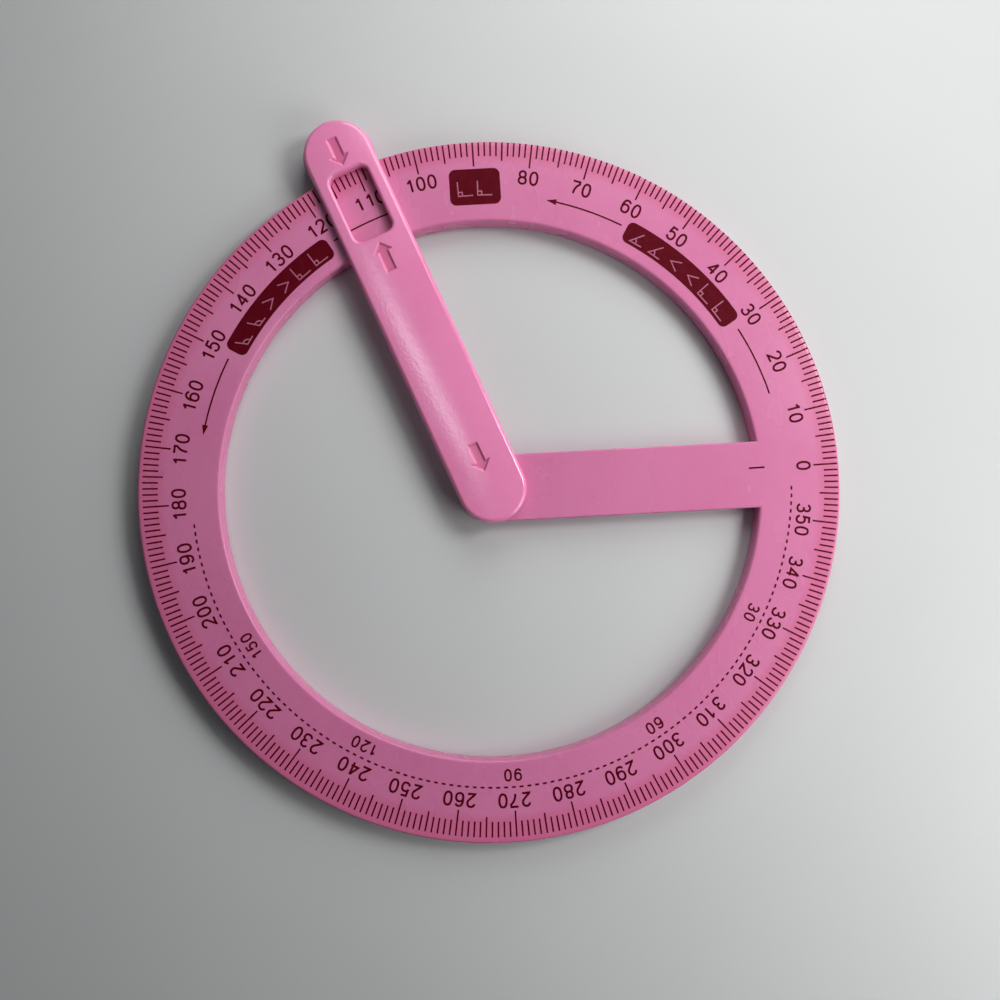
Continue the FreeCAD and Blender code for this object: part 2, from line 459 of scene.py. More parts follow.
@dataclass(frozen=True)
class PrintedInk:
    """Thin printed ink with a slightly uneven film.

    Attributes:
        name: Name of the material.
        colour: Colour of the full film.
        thin: Colour where the film is thin.
        film: Where it is thin.
        rub: Its roughness.
        relief: Its fine relief.
        gloss: Strength of its reflections.
    """

    name: str
    colour: Colour
    thin: Colour
    film: Pattern = Pattern(1500.0, 3.0, (0.45, 0.8), (0.0, 0.6))
    rub: Pattern = Pattern(700.0, 2.0, (0.3, 0.7), (0.36, 0.5))
    relief: Relief = Relief(Pattern(3000.0, 2.0), 0.4, 0.003)
    gloss: float = 0.06

    def build(self) -> Material:
        """Make the material.

        Returns:
            The material.
        """
        tree = NodeTree(self.name)
        shader = tree.add("ShaderNodeBsdfPrincipled", {
            "Base Color": tree.mixed(tree.noise(self.film), self.colour, self.thin),
            "Roughness": tree.noise(self.rub),
            "Normal": tree.bump(self.relief),
            "Specular IOR Level": self.gloss,
        })
        tree.add_output(shader)
        return tree.material


@dataclass
class ScaleRing:
    """Flat ring with the fixed arm from its rim to its centre, in one moulding."""

    outer_radius: float = 50.0
    width: float = 11.6
    thickness: float = 3.0
    inner_round: float = 0.45
    outer_round: float = 0.35
    arm_width: float = 9.5
    arm_round: float = 0.22
    foot_bevel: float = 0.2
    step_width: float = 2.4
    step_depth: float = 1.6
    step_bevel: float = 0.15
    eye_radius: float = 2.25
    recess_radius: float = 3.35
    recess_depth: float = 1.45
    neck: float = 6.5
    arc_points: int = 721
    side_points: int = 33
    hub_points: int = 49
    neck_points: int = 7
    inner_steps: int = 10
    outer_steps: int = 5
    flat_shares: Array = field(default_factory=lambda: np.array([0, 0.03, 0.5, 0.97, 1.0]))
    across_shares: Array = field(default_factory=lambda: np.array([0, 0.03, 0.25, 0.5, 0.75, 0.97, 1.0]))

    def opening(self, ring_inset: float, arm_inset: float) -> tuple[Array, Array, Array, Array]:
        """Parts of the line round the ring's opening and along the fixed arm.

        The arc lies at the inner radius plus the ring's inset; the arm's sides lie at its half width
        less the arm's inset and meet the arc where x^2 + half^2 = r^2.

        Args:
            ring_inset: How far the line lies inside the ring's body.
            arm_inset: How far the line lies inside the arm's body.

        Returns:
            The arc, the arm's lower side, the line round its hub, and its upper side.
        """
        radius = self.outer_radius - self.width + ring_inset
        half = self.arm_width / 2 - arm_inset
        reach = math.sqrt(radius ** 2 - half ** 2)
        start = math.degrees(math.asin(half / radius))
        arc = polar(radius, np.linspace(start, 360 - start, self.arc_points))
        along = np.linspace(reach, self.neck, self.side_points)
        lower = np.stack([along, np.full_like(along, -half)], axis=-1)
        neck = np.linspace(self.neck, 0, self.neck_points)[:-1]
        end = polar(half, np.linspace(-90, -270, self.hub_points))
        neck_side = np.stack([neck, np.full_like(neck, -half)], axis=-1)
        hub = np.concatenate([neck_side, end, (neck_side * [1, -1])[::-1]])
        return arc, lower, hub, (lower * [1, -1])[::-1]

    def flat_face(self, shell: Shell, insets: Pair, height: float, rim: Array, hole: Array) -> None:
        """Add the flat top or underside as straight lines between matching loops.

        Args:
            shell: The mesh to add to.
            insets: Insets of the opening's line at this face.
            height: Height of the face.
            rim: Plan points of the face's outer edge.
            hole: Plan points of the pivot's hole.
        """
        arc, lower, hub, _ = self.opening(*insets)
        half = abs(lower[0, 1])
        side = half * (2 * self.across_shares - 1)
        chord = np.stack([np.full_like(side, lower[0, 0]), side], axis=-1)
        neck = np.stack([np.full_like(side, self.neck), side], axis=-1)
        inner = np.concatenate([arc, chord[1:-1]])
        shell.add(lifted(ruled(inner, rim, self.flat_shares), height), closed=True)
        shell.add(lifted(ruled(chord, neck, np.linspace(0, 1, self.side_points)), height))
        eye = np.concatenate([hub, neck[::-1][1:-1]])
        shell.add(lifted(ruled(eye, hole, self.flat_shares), height), closed=True)

    def build(self, finish: MouldedPlastic) -> Object:
        """Make the ring and its arm.

        Args:
            finish: Its finish.

        Returns:
            The finished piece.
        """
        shell = Shell()
        rim_height = self.thickness - self.inner_round
        angle = np.linspace(0, math.pi / 2, self.inner_steps + 1)
        heights = np.concatenate([[0, self.foot_bevel], rim_height + self.inner_round * np.sin(angle)])
        foot = [self.foot_bevel, 0.0]
        ring_insets = np.concatenate([foot, self.inner_round * (1 - np.cos(angle))])
        over = np.clip(heights[2:] - self.thickness + self.arm_round, 0, self.arm_round)
        arm_insets = np.concatenate([foot, self.arm_round - np.sqrt(self.arm_round ** 2 - over ** 2)])
        wall = []
        for ring_inset, arm_inset, height in zip(ring_insets, arm_insets, heights):
            arc, lower, hub, upper = self.opening(ring_inset, arm_inset)
            loop = np.concatenate([arc, lower[1:], hub[1:], upper[1:-1]])
            wall.append(lifted(loop, height))
        shell.add(np.stack(wall), closed=True)

        top = (ring_insets[-1], arm_insets[-1])
        arc, lower, hub, _ = self.opening(*top)
        half_angle = math.degrees(math.atan2(-lower[0, 1], lower[0, 0]))
        gap = half_angle * (2 * self.across_shares[1:-1] - 1)
        directions = np.concatenate([facing(arc, np.zeros(2)), polar(1.0, gap)])
        neck_side = self.arm_width / 2 * (2 * self.across_shares[::-1][1:-1] - 1)
        neck = np.stack([np.full_like(neck_side, self.neck), neck_side], axis=-1)
        eye = facing(np.concatenate([hub, neck]), np.zeros(2))
        step_radius = self.outer_radius - self.step_width
        inset, drop = quarter_round(self.outer_round, self.outer_steps)
        edge = np.stack([self.outer_radius - inset, self.thickness - drop], axis=-1)
        foot_edge = np.array([
            [self.outer_radius, self.step_depth + self.step_bevel],
            [self.outer_radius - self.step_bevel, self.step_depth],
            [step_radius, self.step_depth],
            [step_radius, 0.0],
        ])
        shell.add(turned(np.concatenate([edge, foot_edge]), directions), closed=True)
        bore = np.array([
            [self.eye_radius, self.thickness],
            [self.eye_radius, self.recess_depth],
            [self.recess_radius, self.recess_depth],
            [self.recess_radius, 0.0],
        ])
        shell.add(turned(bore, eye), closed=True)
        self.flat_face(shell, top, self.thickness, edge[0, 0] * directions, self.eye_radius * eye)
        self.flat_face(shell, (self.foot_bevel, self.foot_bevel), 0.0,
                       step_radius * directions, self.recess_radius * eye)
        return shell.piece("ring_body", finish.build(), "ring", "ring_plastic", "scale_ring")


@dataclass(frozen=True)
class EngravedArrow:
    """Arrow cut into the swing arm, along its middle line.

    Attributes:
        tail: Where the shaft starts, from the pivot along the arm.
        tip: Where the head ends.
        shaft: Half width of the shaft.
        head: Half width of the head.
        head_length: Length of the head.
        depth: Depth of the engraving.
        slope: Width of its sloping wall.
    """

    tail: float
    tip: float
    shaft: float = 0.67
    head: float = 1.3
    head_length: float = 1.3
    depth: float = 0.3
    slope: float = 0.34

    def cut(self, along: Array, across: Array) -> Array:
        """Depth at points of the arm: a smooth step of the distance from the arrow's outline.

        Args:
            along: Distances from the pivot along the arm.
            across: Distances from the arm's middle line.

        Returns:
            The depth below the uncut face.
        """
        way = math.copysign(1.0, self.tip - self.tail)
        length = abs(self.tip - self.tail)
        s = (along - self.tail) * way
        w = np.abs(across)
        neck = length - self.head_length
        corners = [(0.0, 0.0), (0.0, self.shaft), (neck, self.shaft), (neck, self.head), (length, 0.0)]
        gap = np.full(np.broadcast(s, w).shape, np.inf)
        for (a, b), (c, d) in zip(corners, corners[1:]):
            share = np.clip(((s - a) * (c - a) + (w - b) * (d - b)) / ((c - a) ** 2 + (d - b) ** 2), 0, 1)
            gap = np.minimum(gap, np.hypot(s - a - share * (c - a), w - b - share * (d - b)))
        in_shaft = (s > 0) & (s <= neck) & (w < self.shaft)
        in_head = (s > neck) & (s < length) & (w < self.head * (length - s) / self.head_length)
        signed = np.where(in_shaft | in_head, gap, -gap)
        return self.depth * blended(0.5 + signed / self.slope)


@dataclass
class SwingArm:
    """Long crowned arm with round ends, a reading window, a boss below and three engraved arrows."""

    rest_angle: float = 111.7
    hub_radius: float = 4.9
    tip_radius: float = 4.95
    reach: float = 52.2
    underside: float = 3.2
    thickness: float = 1.4
    crown_radius: float = 46.0
    edge_round: float = 0.6
    foot_round: float = 0.12
    support: float = 0.05
    window_start: float = 39.3
    window_end: float = 49.55
    window_half_width: float = 2.9
    window_corner: float = 1.2
    window_rim: float = 0.5
    frame_start: float = 38.45
    frame_end: float = 50.3
    boss_profile: tuple[Pair, ...] = (
        (3.4, 3.2), (3.4, 3.0), (2.2, 3.0), (2.2, 1.3), (1.12, 1.3), (1.12, 3.8), (0.0, 3.8))
    peg_profile: tuple[Pair, ...] = (
        (0.0, 0.4), (1.45, 0.4), (1.45, 1.0), (1.0, 1.0), (1.0, 3.7), (0.0, 3.7))
    peg_along: float = 53.6
    peg_across: float = 2.2
    arrows: tuple[EngravedArrow, ...] = (
        EngravedArrow(54.52, 50.46), EngravedArrow(33.9, 38.18), EngravedArrow(6.73, 2.68))
    fine_step: float = 0.06
    fine_share: float = 0.4
    hub_rows: Triple = (2.2, 7.2, 33.3)
    row_steps: Triple = (0.4, 0.75, 0.26)
    tip_rows: float = 2.8
    hub_points: int = 41
    tip_points: int = 22
    fine_points: int = 65
    coarse_points: int = 11
    edge_steps: int = 9
    rim_steps: int = 7
    rim_land: float = 0.03
    neck_shift: float = 1.0
    peg_step: float = 10.0

    def __post_init__(self) -> None:
        """Start the mesh and lay the rows that cross the arm, from the hub's end to the tip's."""
        self.shell = Shell(self.rest_angle)
        lean = math.degrees(math.asin((self.tip_radius - self.hub_radius) / self.reach))
        self.core_inset = self.edge_round + self.support
        core = self.tip_radius - self.core_inset
        hub_angles = np.linspace(180, 90 + lean, self.hub_points)
        arrow_start, arrow_end, next_arrow = self.hub_rows
        hub_step, plain_step, frame_step = self.row_steps
        along = stations(
            (0, arrow_start, hub_step), (arrow_start, arrow_end, self.fine_step),
            (arrow_end, next_arrow, plain_step), (next_arrow, self.frame_start, self.fine_step),
            (self.frame_start, self.frame_end, frame_step),
            (self.frame_end, self.reach, self.fine_step))[1:-1]
        tip_along = stations((0, self.tip_rows, self.fine_step))
        tip_angles = np.degrees(np.arccos(tip_along / core + math.sin(math.radians(lean))))
        tip_angles = np.append(tip_angles, np.linspace(tip_angles[-1], 0, self.tip_points)[1:])
        share = along / self.reach
        side_start, side_end = polar(self.hub_radius, 90 + lean), polar(self.tip_radius, 90 + lean)
        side_end = side_end + [self.reach, 0]
        side = side_start + share[:, None] * (side_end - side_start)
        tip = polar(self.tip_radius, tip_angles) + [self.reach, 0]
        self.outline = np.concatenate([polar(self.hub_radius, hub_angles), side, tip])
        side_angles = np.full(len(side), 90 + lean)
        self.inward = -polar(1.0, np.concatenate([hub_angles, side_angles, tip_angles]))
        fine = np.linspace(-self.fine_share, self.fine_share, self.fine_points)
        coarse = np.linspace(self.fine_share, 1, self.coarse_points)[1:]
        self.across = np.concatenate([-coarse[::-1], fine, coarse])
        core_line = self.upper(self.core_inset)[:, 0]
        self.first = int(np.argmin(np.abs(core_line - self.frame_start)))
        self.last = int(np.argmin(np.abs(core_line - self.frame_end)))
        self.neck = int(np.argmin(np.abs(core_line - self.arrows[-1].tail - self.neck_shift)))

    def upper(self, inset: float) -> Array:
        """Plan line along the upper side, from the hub's end to the tip's, set in by a distance."""
        return self.outline + inset * self.inward

    def crown(self, across: Array) -> Array:
        """Height of the crowned top: top - R + sqrt(R^2 - across^2)."""
        top = self.underside + self.thickness
        return top - self.crown_radius + np.sqrt(self.crown_radius ** 2 - across ** 2)

    def rows(self, start: int, end: int) -> Array:
        """Grid of the top between two rows: across = share * half width, height = crown - cuts.

        Args:
            start: First row.
            end: Row after the last.

        Returns:
            The grid.
        """
        line = self.upper(self.core_inset)[start:end]
        plan = np.stack(np.broadcast_arrays(line[:, :1], line[:, 1:] * self.across), axis=-1)
        cut = sum(arrow.cut(plan[..., 0], plan[..., 1]) for arrow in self.arrows)
        return lifted(plan, self.crown(plan[..., 1]) - cut)

    def around(self, inset: float) -> Array:
        """Closed plan line round the whole arm, set in by a distance."""
        line = self.upper(inset)
        return np.concatenate([line, (line * [1, -1])[::-1][1:-1]])

    def span(self, start: int, end: int, inset: float) -> Array:
        """Closed plan line round the part of the arm between two rows.

        Args:
            start: First row.
            end: Last row.
            inset: Distance from the arm's edge.

        Returns:
            Loop that crosses the first row, follows the upper side, the last row and the lower side.
        """
        line = self.upper(inset)[start:end + 1]
        first = line[0] * np.stack([np.ones_like(self.across), self.across], axis=-1)
        last = line[-1] * np.stack([np.ones_like(self.across), -self.across], axis=-1)
        return np.concatenate([first, line[1:], last[1:], (line * [1, -1])[::-1][1:-1]])

    def window(self, offset: float) -> Array:
        """Plan line of the reading window, its points matched to those of span(first, last).

        Each side holds a straight run between two half corners. A point at length l from the side's
        middle stands on the run at clip(l) and leans out of it by the rest of l over the corner's
        radius.

        Args:
            offset: Distance outside the window's own line.

        Returns:
            The closed line.
        """
        middle = np.array([(self.window_start + self.window_end) / 2, 0.0])
        run = (self.window_end - self.window_start) / 2 - self.window_corner
        rise = self.window_half_width - self.window_corner
        rows = self.upper(self.core_inset)[self.first:self.last + 1, 0]
        along = 2 * (rows - rows[0]) / (rows[-1] - rows[0]) - 1
        sides = [
            ((-1, 0), (0, 1), run, rise, self.across),
            ((0, 1), (1, 0), rise, run, along[1:]),
            ((1, 0), (0, -1), run, rise, self.across[1:]),
            ((0, -1), (-1, 0), rise, run, along[1:-1]),
        ]
        line = []
        for out, way, depth, half_run, share in sides:
            outward, onward = np.array(out, float), np.array(way, float)
            length = share * (half_run + self.window_corner * math.pi / 4)
            on_run = np.clip(length, -half_run, half_run)
            lean = (length - on_run) / self.window_corner
            root = middle + depth * outward + on_run[:, None] * onward
            normal = np.cos(lean)[:, None] * outward + np.sin(lean)[:, None] * onward
            line.append(root + (self.window_corner + offset) * normal)
        return np.concatenate(line)

    def build_top(self) -> None:
        """Add the crowned top with its engraved arrows and the round edges of arm and window."""
        self.shell.add(self.rows(0, self.first + 1))
        self.shell.add(self.rows(self.last, len(self.outline)))
        inset, drop = quarter_round(self.edge_round, self.edge_steps)
        lines = [lifted(self.around(self.core_inset), self.crown(self.around(self.core_inset)[:, 1]))]
        for step_in, step_down in zip(inset, drop):
            plan = self.around(step_in)
            lines.append(lifted(plan, self.crown(plan[:, 1]) - step_down))
        lines.append(lifted(self.around(0.0), self.underside + self.foot_round))
        lines.append(lifted(self.around(self.foot_round), self.underside))
        self.shell.add(np.stack(lines), closed=True)

        outer = self.window(self.window_rim + self.rim_land)
        flat = ruled(self.span(self.first, self.last, self.core_inset), outer, np.array([0, 0.5, 1.0]))
        self.shell.add(lifted(flat, self.crown(flat[..., 1])), closed=True)
        inset, drop = quarter_round(self.window_rim, self.rim_steps)
        lines = [lifted(outer, self.crown(outer[:, 1]))]
        for step_in, step_down in zip(inset, drop):
            plan = self.window(step_in)
            lines.append(lifted(plan, self.crown(plan[:, 1]) - step_down))
        lines.append(lifted(self.window(0.0), self.underside))
        self.shell.add(np.stack(lines), closed=True)

    def build_underside(self) -> None:
        """Add the flat underside, the boss with its bore, and the two staked pegs."""
        ends = np.array([0.0, 1.0])
        hub = self.span(0, self.neck, self.foot_round)
        around_boss = facing(hub, np.zeros(2))
        boss = np.array(self.boss_profile)
        self.shell.add(lifted(ruled(hub, boss[0, 0] * around_boss, ends), self.underside), closed=True)
        self.shell.add(turned(boss, around_boss), closed=True)
        for start, end in ((self.neck, self.first), (self.last, len(self.outline) - 1)):
            loop = self.span(start, end, self.foot_round)
            centre = np.broadcast_to(loop.mean(axis=0), loop.shape)
            self.shell.add(lifted(ruled(loop, centre, ends), self.underside), closed=True)
        loop = self.span(self.first, self.last, self.foot_round)
        self.shell.add(lifted(ruled(loop, self.window(0.0), ends), self.underside), closed=True)
        peg = turned(np.array(self.peg_profile), polar(1.0, np.arange(0, 360, self.peg_step)))
        for side in (-1, 1):
            self.shell.add(peg + [self.peg_along, side * self.peg_across, 0], closed=True)

    def build(self, finish: MouldedPlastic) -> Object:
        """Make the swing arm, turned to its rest angle.

        Args:
            finish: Its finish.

        Returns:
            The finished piece.
        """
        self.build_top()
        self.build_underside()
        piece = self.shell.piece("swing_arm_body", finish.build(), "arm", "arm_plastic", "swing_arm")
        self.mark_engraving(piece)
        return piece

    def mark_engraving(self, piece: Object) -> None:
        """Write at each point of the mesh how deep it lies in an arrow, as cut / depth from 0 to 1.

        Args:
            piece: The finished arm.
        """
        points = np.empty(3 * len(piece.data.vertices))
        piece.data.vertices.foreach_get("co", points)
        x, y, z = points.reshape(-1, 3).T / MM
        ahead = polar(1.0, self.rest_angle)
        along, across = x * ahead[0] + y * ahead[1], y * ahead[0] - x * ahead[1]
        share = sum(arrow.cut(along, across) / arrow.depth for arrow in self.arrows)
        share = np.where(z > self.underside + self.edge_round / 2, share, 0.0)
        # The finish uses this share to paint shade into the arrows.
        piece.data.attributes.new(ENGRAVED_SHADE, "FLOAT", "POINT").data.foreach_set("value", share)


@dataclass
class PivotCap:
    """Button under the pivot: a round head and a stem pressed into the boss."""

    profile: tuple[Pair, ...] = (
        (0.0, 0.3), (2.8, 0.3), (2.93, 0.33), (3.03, 0.4), (3.08, 0.5), (3.1, 0.62), (3.1, 1.3),
        (1.1, 1.3), (1.1, 3.25), (0.85, 3.5), (0.0, 3.5))
    step: float = 3.75

    def build(self, finish: MouldedPlastic) -> Object:
        """Make the cap as its profile carried round the pivot.

        Args:
            finish: Its finish.

        Returns:
            The finished piece.
        """
        shell = Shell()
        around = polar(1.0, np.arange(0, 360, self.step))
        shell.add(turned(np.array(self.profile), around), closed=True)
        return shell.piece("pivot_cap_body", finish.build(), "arm", "cap_plastic", "pivot_cap")


@dataclass
class RimKeeper:
    """Round shoe under the swing arm's tip: a wall outside the rim and a lip in the step under it."""

    arm: SwingArm
    radius: float = 5.15
    bottom: float = 0.35
    lip_top: float = 1.35
    top_round: float = 0.2
    bottom_round: float = 0.4
    rim_radius: float = 50.3
    lip_radius: float = 47.9
    stake_radius: float = 1.5
    stake_depth: float = 0.65
    cover_shift: float = 1.0
    half_middle: float = 0.5
    edge_points: int = 61
    run_points: int = 13
    arc_points: int = 25
    bottom_steps: int = 4
    top_steps: int = 3

    def corner(self, inner: float, inset: float) -> Pair:
        """Where the shoe's edge crosses a circle about the pivot.

        With the shoe's radius r at distance c, the circle's radius q crosses it at the angle whose
        cosine is (q^2 - c^2 - r^2) / (2 c r) about the shoe and (q^2 + c^2 - r^2) / (2 c q) about
        the pivot.

        Args:
            inner: Radius of the circle about the pivot.
            inset: How far the shoe's edge is set in.

        Returns:
            The angle about the shoe's centre and the angle about the pivot.
        """
        r, c = self.radius - inset, self.arm.reach
        about_shoe = (inner ** 2 - c ** 2 - r ** 2) / (2 * c * r)
        about_pivot = (inner ** 2 + c ** 2 - r ** 2) / (2 * c * inner)
        return math.degrees(math.acos(about_shoe)), math.degrees(math.acos(about_pivot))

    def loop(self, inner: float, inset: float) -> Array:
        """Closed plan line: the shoe's round edge outside a circle, and that circle's arc.

        Args:
            inner: Radius of the circle about the pivot.
            inset: How far the round edge is set in.

        Returns:
            The loop: the part of the edge that both levels share, then a short run, the arc and the
            other short run.
        """
        shared = self.corner(self.rim_radius, inset)[0]
        about_shoe, about_pivot = self.corner(inner, inset)
        r, centre = self.radius - inset, [self.arm.reach, 0]
        edge = polar(r, np.linspace(-shared, shared, self.edge_points)) + centre
        run = polar(r, np.linspace(shared, about_shoe, self.run_points)) + centre
        arc = polar(inner, np.linspace(about_pivot, -about_pivot, self.arc_points))
        return np.concatenate([edge, run[1:], arc[1:], (run * [1, -1])[::-1][1:-1]])

    def build(self, finish: MouldedPlastic) -> Object:
        """Make the keeper, turned to its rest angle.

        Args:
            finish: Its finish.

        Returns:
            The finished piece.
        """
        shell = Shell(self.arm.rest_angle)
        ends = np.array([0.0, 1.0])
        inset, rise = quarter_round(self.bottom_round, self.bottom_steps)
        low = [lifted(self.loop(self.lip_radius, i), self.bottom + d) for i, d in zip(inset, rise)]
        low.append(lifted(self.loop(self.lip_radius, 0.0), self.lip_top))
        high = [lifted(self.loop(self.rim_radius, 0.0), self.lip_top)]
        inset, drop = quarter_round(self.top_round, self.top_steps)
        for i, d in zip(inset[::-1], drop[::-1]):
            high.append(lifted(self.loop(self.rim_radius, i), self.arm.underside - d))
        shell.add(np.stack(low + high), closed=True)

        cover = self.loop(self.rim_radius, self.top_round)
        middle = np.broadcast_to([self.arm.reach + self.cover_shift, 0.0], cover.shape)
        shell.add(lifted(ruled(cover, middle, ends), self.arm.underside), closed=True)
        base = self.loop(self.lip_radius, self.bottom_round)
        upper_half = base[base[:, 1] >= 0]
        x, y = (upper_half - [self.arm.reach, self.half_middle]).T
        upper_half = upper_half[np.argsort(np.arctan2(y, x))]
        centre = np.array([self.arm.peg_along, self.arm.peg_across])
        around = facing(upper_half, centre)
        pocket = np.array([[self.stake_radius, self.bottom],
                           [self.stake_radius, self.bottom + self.stake_depth],
                           [0.0, self.bottom + self.stake_depth]])
        hollow = turned(pocket, around) + lifted(centre, 0.0)
        face = lifted(ruled(upper_half, centre + self.stake_radius * around, ends), self.bottom)
        for side in (1, -1):
            shell.add(hollow * [1, side, 1], closed=True)
            shell.add(face * [1, side, 1], closed=True)
        return shell.piece("rim_keeper_body", finish.build(), "arm", "keeper_plastic", "rim_keeper")


@dataclass(frozen=True)
class Line:
    """Straight run of a figure, between two points in shares of its height."""

    start: Pair
    end: Pair

    def trace(self) -> Array:
        """The two ends of the run."""
        return np.array([self.start, self.end])


@dataclass(frozen=True)
class Bow:
    """Part of an upright oval, in shares of the figure's height.

    Attributes:
        centre: Centre of the oval.
        radii: Half its width and half its height.
        start: Direction of its first point.
        end: Direction of its last point.
        squareness: 1 for an ellipse, less for fuller shoulders.
    """

    centre: Pair
    radii: Pair
    start: float
    end: float
    squareness: float = 0.88

    def trace(self) -> Array:
        """Points c + radii * sign(cos, sin) * |cos, sin|^squareness along the oval.

        Returns:
            The points.
        """
        steps = max(FEWEST_BOW_STEPS, round(abs(self.end - self.start) / BOW_STEP))
        unit = polar(1.0, np.linspace(self.start, self.end, steps + 1))
        full = np.sign(unit) * np.abs(unit) ** self.squareness
        return np.array(self.centre) + np.array(self.radii) * full


Stroke = tuple[Line | Bow, ...]

FIGURES: dict[str, tuple[Stroke, ...]] = {
    "0": ((Bow((0.28, 0.5), (0.28, 0.5), 90, 450),),),
    "1": ((Line((0.36, 0.0), (0.36, 1.0)),), (Bow((0.08, 1.03), (0.26, 0.26), -88, -8, 1.0),)),
    "2": ((Bow((0.28, 0.71), (0.27, 0.29), 172, -28), Line((0.42, 0.44), (0.02, 0.04)),
           Line((0.0, 0.0), (0.56, 0.0))),),
    "3": ((Bow((0.27, 0.75), (0.24, 0.25), 165, -90), Line((0.27, 0.5), (0.2, 0.5))),
          (Bow((0.27, 0.26), (0.28, 0.26), 90, -168),)),
    "4": ((Line((0.42, 1.0), (0.0, 0.28)), Line((0.0, 0.28), (0.57, 0.28))),
          (Line((0.42, 0.0), (0.42, 1.0)),)),
    "5": ((Line((0.52, 1.0), (0.11, 1.0)), Line((0.11, 1.0), (0.04, 0.47))),
          (Bow((0.28, 0.33), (0.28, 0.33), 148, -165),)),
    "6": ((Bow((0.28, 0.32), (0.28, 0.32), 180, 540),), (Bow((0.31, 0.5), (0.31, 0.5), 38, 190),)),
    "7": ((Line((0.0, 1.0), (0.56, 1.0)), Bow((0.9, 0.0), (0.7, 0.92), 119, 180, 1.0)),),
    "8": ((Bow((0.28, 0.755), (0.24, 0.245), 90, 450),), (Bow((0.28, 0.26), (0.28, 0.26), 90, 450),)),
    "9": ((Bow((0.28, 0.68), (0.28, 0.32), 0, 360),), (Bow((0.25, 0.5), (0.31, 0.5), -142, 10),)),
}


class Pictogram(Enum):
    """Small line pictures of angles, as strokes in shares of their height."""

    ACUTE = ((Line((0.7, 0.85), (0.0, 0.0)), Line((0.0, 0.0), (0.9, 0.0))),
             (Bow((0.0, 0.0), (0.45, 0.45), 0, 50, 1.0),))
    RIGHT = ((Line((0.0, 1.0), (0.0, 0.0)), Line((0.0, 0.0), (1.0, 0.0))),
             (Line((0.0, 0.27), (0.27, 0.27)), Line((0.27, 0.27), (0.27, 0.0))))
    OBTUSE = ((Line((0.0, 0.8), (0.35, 0.0)), Line((0.35, 0.0), (1.0, 0.0))),
              (Bow((0.35, 0.0), (0.32, 0.32), 0, 114, 1.0),))
    LESS = ((Line((0.8, 0.8), (0.1, 0.42)), Line((0.1, 0.42), (0.8, 0.05))),)
    MORE = ((Line((0.1, 0.8), (0.8, 0.42)), Line((0.8, 0.42), (0.1, 0.05))),)


@dataclass(frozen=True)
class Lettering:
    """Size of printed numbers.

    Attributes:
        foot_share: Radius of the circle that they stand on, as a share of the print's radius.
        height: Height of the figures.
        stroke: Width of their strokes.
        pitch: Distance from figure to figure.
    """

    foot_share: float
    height: float
    stroke: float
    pitch: float


@dataclass(frozen=True)
class SignRow:
    """Row of pictograms on a panel, two of each kind side by side.

    Attributes:
        start: Direction of the first one.
        step: Angle from one to the next.
        foot_share: Radius of the circle that they stand on, as a share of the print's radius.
        signs: Their kinds.
    """

    start: float
    step: float
    foot_share: float
    signs: tuple[Pictogram, ...]


